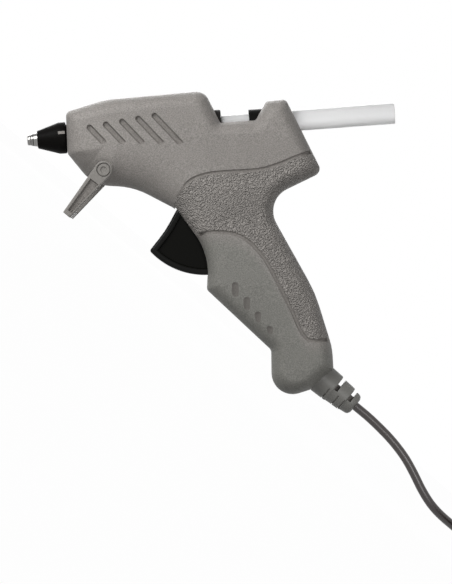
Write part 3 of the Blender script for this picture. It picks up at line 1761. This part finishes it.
@dataclass
class Cord:
    """The mains cord: out of the strain relief, down to the floor and into its tied coil."""

    diameter: float = 3.4
    start: Point2 = (130.153, 13.396)
    fall: tuple[Point3, ...] = (
        (138, 0, 13.3), (146, 0, 12.6), (152, 0, 11.6), (158, 0, 10), (164, 0, 7.6), (170, 0, 4.9),
        (176, 0.8, 2.9), (182, 3, 2), (190, 7.5, 1.8), (198, 11.9, 1.8), (206, 14.8, 2),
    )
    coil_at: Point2 = (217, -9.5)
    coil_low: float = 2.3
    coil_in: float = 13.7
    coil_steps: int = 24
    turns: float = 3.0
    rise: float = 0.5
    pitch: float = 3.9
    climb: tuple[Point3, ...] = (
        (207.3, -33, 7), (199, -27.4, 9), (195, -17.6, 11.8), (199.1, -7.7, 14.2), (203.6, -4.6, 15.1),
    )
    fall_steps: int = 3
    climb_steps: int = 4
    facets: int = 5

    def coil(self) -> list[Vector]:
        """Winds the coil: in along the floor, up where the spiral turns, and out on top.

        Returns:
            Points of its middle, in floor millimetres.
        """
        x, y = self.coil_at
        span = 2 * self.turns + self.rise
        out = []
        for i in range(1, int(span * self.coil_steps)):
            t = i / self.coil_steps
            r = self.coil_in + self.pitch * (abs(t - span / 2) - self.rise / 2)
            f = max(0.0, min(1.0, (t - self.turns) / self.rise))
            a = FULL_TURN * t
            z = self.coil_low + self.pitch * f * f * (3 - 2 * f)
            out.append(Vector((x + r * math.sin(a), y + r * math.cos(a), z)))
        return out

    def route(self) -> list[Vector]:
        """Lays the cord.

        Returns:
            Points of its whole route, in floor millimetres.
        """
        straight = Vector((self.diameter, 0, 0))
        outer = Vector((0, self.coil_in + self.turns * self.pitch, 0))
        middle = Vector((*self.coil_at, self.coil_low))
        exit_at = Vector((self.start[0], 0, self.start[1]))
        into = middle + outer
        out = middle - outer + Vector((0, 0, self.pitch))
        stop = Vector(Plug.at)
        down = [exit_at + straight, *map(Vector, self.fall), into - straight]
        up = [out - straight / 4, *map(Vector, self.climb), stop - straight]
        run = [exit_at, *spline(down, self.fall_steps), into]
        tail = [out, *spline(up, self.climb_steps), stop]
        return run + self.coil() + tail

    def build(self) -> Object:
        """Makes the cord as one open curve.

        Returns:
            The cord.
        """
        points = [p * MM for p in self.route()]
        curve = bpy.data.curves.new("mains_cord", "CURVE")
        curve.dimensions = "3D"
        curve.bevel_depth = self.diameter / 2 * MM
        curve.bevel_resolution = self.facets
        curve.use_fill_caps = True
        line = curve.splines.new("POLY")
        line.points.add(len(points) - 1)
        for knot, p in zip(line.points, points):
            knot.co = (*p, 1)
        line.use_smooth = True
        curve.materials.append(Look.CORD.material())
        obj = Workshop.placed("mains_cord", curve)
        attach(obj, Body.HOUSING.value)
        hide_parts("cord", "cord_coil", "cord_end")
        return obj


@dataclass
class Plug:
    """The two-pin plug on the cord's end, in floor millimetres from where the cord goes in."""

    at: Point3 = (212.4, -3.5, 15.5)
    outline: tuple[Point2, ...] = (
        (8, -6), (11, -9), (24, -17), (32, -17), (36, -14), (36, 14), (32, 17), (24, 17), (11, 9), (8, 6),
    )
    half: float = 6.6
    rounding: float = 1.6
    round_steps: int = 4
    neck: tuple[Point2, ...] = (
        (0, 1.75), (0, 3.2), (0.6, 3.8), (3, 4.0), (3.4, 3.4), (4.4, 3.4), (4.8, 4.0), (6.4, 4.0), (6.8, 3.4),
        (7.8, 3.4), (8.2, 4.0), (9, 4.0), (9, 1.75), (0, 1.75),
    )
    rib_at: tuple[float, ...] = (17, 20.5, 24, 27.5)
    rib_width: float = 1.4
    rib_half: float = 10.5
    rib_level: float = 6.55
    rib_thick: float = 0.15
    rib_rounding: float = 0.14

    def ribs(self) -> list[BMesh]:
        """Makes the ribs across both faces.

        Returns:
            The ribs.
        """
        out = []
        for x in self.rib_at:
            for z in (-self.rib_level, self.rib_level):
                low = (x, -self.rib_half, z - self.rib_thick)
                high = (x + self.rib_width, self.rib_half, z + self.rib_thick)
                out.append(Shapes.block(low, high, self.rib_rounding))
        return out

    def build(self) -> Object:
        """Makes the plug's body.

        Returns:
            The plug's body.
        """
        body = Shapes.pushed([(x, y, -self.half) for x, y in self.outline], (0, 0, 2 * self.half))
        Shapes.rounded(body, list(body.edges), self.rounding, self.round_steps)
        whole = Shapes.joined([body, Shapes.lathe(self.neck, 40), *self.ribs()])
        obj = Workshop.raw("plug_shell", whole, Look.CORD)
        place = FLOOR_MM @ Matrix.Translation(self.at)
        return Workshop.finish(obj, Body.HOUSING, "plug_body", "cord_grey", place, weighted=True)


@dataclass(frozen=True)
class Lamp:
    """A square soft light, in metres from the middle of the picture."""

    name: str
    right: float
    up: float
    back: float
    size: float
    power: float

    def hang(self, middle: Vector, right: Vector, up: Vector) -> None:
        """Sets the light and points it at the middle.

        Args:
            middle: the model point at the middle of the picture.
            right: the picture's right.
            up: the picture's up.
        """
        data = bpy.data.lights.new(self.name, "AREA")
        data.size = self.size
        data.energy = self.power
        obj = Workshop.placed(self.name, data)
        obj.location = middle + right * self.right + up * self.up + Vector((0, self.back, 0))
        obj.visible_transmission = False
        obj.rotation_euler = (middle - obj.location).to_track_quat("-Z", "Y").to_euler()


@dataclass
class Studio:
    """Camera, lights, floor and white surround."""

    gun_corner: Point2 = (66.7, 137.6)
    tilt: float = math.radians(4.21)
    scale: float = 0.38
    distance: float = 1.6
    image: tuple[int, int] = (452, 584)
    sensor: float = 36
    clip: Point2 = (0.05, 20)
    dim: float = 0.19
    floor_size: float = 4
    floor_grey: float = 0.4
    floor_glow: float = 0.985
    lamps: tuple[Lamp, ...] = (
        Lamp("key", -0.2, 0.23, -0.25, 0.26, 1.62),
        Lamp("fill", 0.24, -0.04, -0.58, 0.16, 0.9),
        Lamp("back_fill", -0.12, 0.25, 0.8, 0.6, 6.0),
    )

    def aim(self) -> Vector:
        """Finds the middle of the picture.

        Returns:
            The model point that shows there.
        """
        dx = self.image[0] / 2 - self.gun_corner[0]
        dy = self.image[1] / 2 - self.gun_corner[1]
        gx = (dx * math.cos(self.tilt) - dy * math.sin(self.tilt)) * self.scale
        gz = (-dx * math.sin(self.tilt) - dy * math.cos(self.tilt)) * self.scale
        return GUN.matrix() @ Vector((gx, 0, gz))

    def axes(self) -> tuple[Vector, Vector]:
        """Finds how the picture is rolled.

        Returns:
            The picture's right and up.
        """
        roll = GUN.stance - self.tilt
        right = Vector((math.cos(roll), 0, math.sin(roll)))
        return right, Vector((-math.sin(roll), 0, math.cos(roll)))

    def camera(self) -> None:
        """Sets the camera square to the gun's side, rolled as the photograph is."""
        data = bpy.data.cameras.new("camera")
        data.sensor_fit = "HORIZONTAL"
        data.sensor_width = self.sensor
        data.lens = self.sensor * self.distance / (self.image[0] * self.scale * MM)
        data.clip_start, data.clip_end = self.clip
        obj = Workshop.placed("camera", data)
        back = Vector((0, -1, 0))
        turn = Matrix((*self.axes(), back)).transposed().to_4x4()
        obj.matrix_world = Matrix.Translation(self.aim() + back * self.distance) @ turn
        bpy.context.scene.camera = obj

    @staticmethod
    def seen(graph: Graph) -> NodeSocket:
        """Finds the rays that show the surround.

        Args:
            graph: the graph that asks.

        Returns:
            One for camera, glossy and transmission rays.
        """
        path = graph.add("ShaderNodeLightPath").outputs
        total = graph.math("ADD", path["Is Camera Ray"], path["Is Glossy Ray"])
        return graph.math("ADD", total, path["Is Transmission Ray"], clamped=True)

    def surround(self) -> None:
        """Sets the world, which looks white and lights the gun dimly."""
        world = bpy.data.worlds.new("surround")
        world.use_nodes = True
        bpy.context.scene.world = world
        graph = Graph(world.node_tree)
        sky = world.node_tree.nodes["Background"]
        graph.put(sky, "Color", WHITE)
        graph.put(sky, "Strength", graph.span(self.seen(graph), 0, 1, self.dim, 1.0))

    def floor(self) -> None:
        """Sets the floor, which looks white and keeps a faint shadow."""
        bm = bmesh.new()
        bmesh.ops.create_grid(bm, x_segments=1, y_segments=1, size=self.floor_size)
        floor = Workshop.raw("floor", bm)
        material = bpy.data.materials.new("floor_white")
        material.use_nodes = True
        material.node_tree.nodes.clear()
        graph = Graph(material.node_tree)
        grey = (self.floor_grey, self.floor_grey, self.floor_grey, 1)
        plain = graph.add("ShaderNodeBsdfDiffuse", {"Color": grey}).outputs[0]
        glow = graph.add("ShaderNodeEmission", {"Color": WHITE, "Strength": 1.0}).outputs[0]
        share = graph.math("MULTIPLY", self.seen(graph), self.floor_glow)
        mixed = graph.add("ShaderNodeMixShader", {0: share, 1: plain, 2: glow}).outputs[0]
        graph.add("ShaderNodeOutputMaterial", {0: mixed})
        floor.data.materials.append(material)

    def build(self) -> None:
        """Sets up the whole studio."""
        bpy.context.scene.view_settings.view_transform = "Standard"
        self.camera()
        self.surround()
        self.floor()
        for lamp in self.lamps:
            lamp.hang(self.aim(), *self.axes())


def main() -> None:
    """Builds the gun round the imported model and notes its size."""
    logging.basicConfig(level=logging.INFO, format="%(name)s: %(message)s")
    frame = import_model()
    Studio().build()
    Dresser().dress(frame)
    cord = Cord().build()
    plug = Plug().build()
    pieces = [cord, plug]
    for assembly in (Housing(), Nozzle(), GlueStick(), Trigger(), ReturnSpring(), Stand(), Relief()):
        pieces += assembly.build()
    for piece in pieces:
        LOG.info("made %s", piece.name)


if __name__ == "__main__":
    main()
